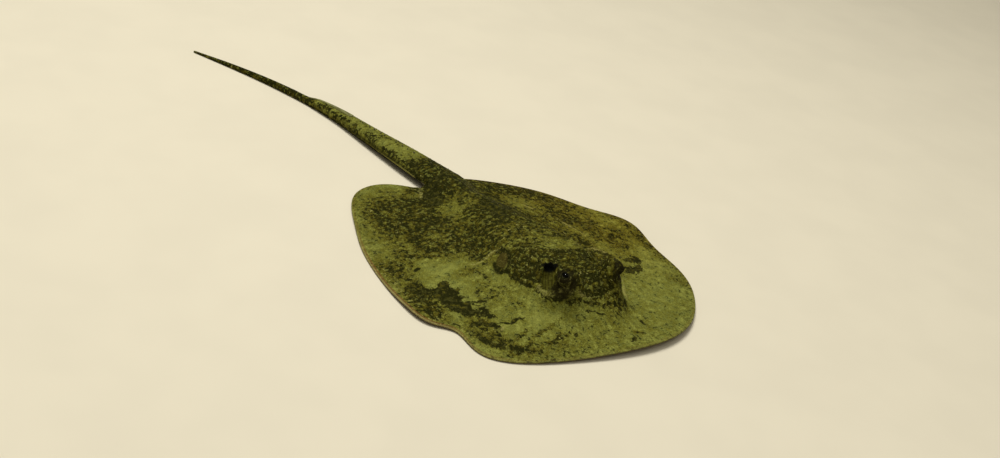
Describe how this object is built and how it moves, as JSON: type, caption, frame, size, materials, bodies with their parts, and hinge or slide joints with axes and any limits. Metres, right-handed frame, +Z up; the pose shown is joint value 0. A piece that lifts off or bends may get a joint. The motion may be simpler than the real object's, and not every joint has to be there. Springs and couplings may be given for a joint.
{
  "type": "freshwater stingray",
  "caption": "Freshwater stingray lying flat on its belly: round disc with softly rippled fin edge, raised eyes with spiracles behind them, and a tapering tail with a sting, bent to one side.",
  "frame": {"origin": "on the flat of the belly, level with the floor, under the middle of the disc", "axes": "+Z up from the floor, the snout points to -Y and the tail runs to +Y, the animal's left is +X"},
  "size_m": [0.2029, 0.4293, 0.0323],
  "materials": {
    "skin": "moist skin, satin, olive with dark brown blotches, pale below",
    "sting": "smooth bone",
    "eyes": "wet and glossy"
  },
  "bodies": {
    "root": {"snout": "skin", "head": "skin", "trunk": "skin", "pectoral_fin_left": "skin", "pectoral_fin_right": "skin", "pelvic_fin_left": "skin", "pelvic_fin_right": "skin", "tail_base": "skin", "tail_middle": "skin", "tail_rear": "skin", "tail_tip": "skin", "tail_sting": "sting", "eye_left": "eyes", "eye_right": "eyes"}
  },
  "joints": []
}
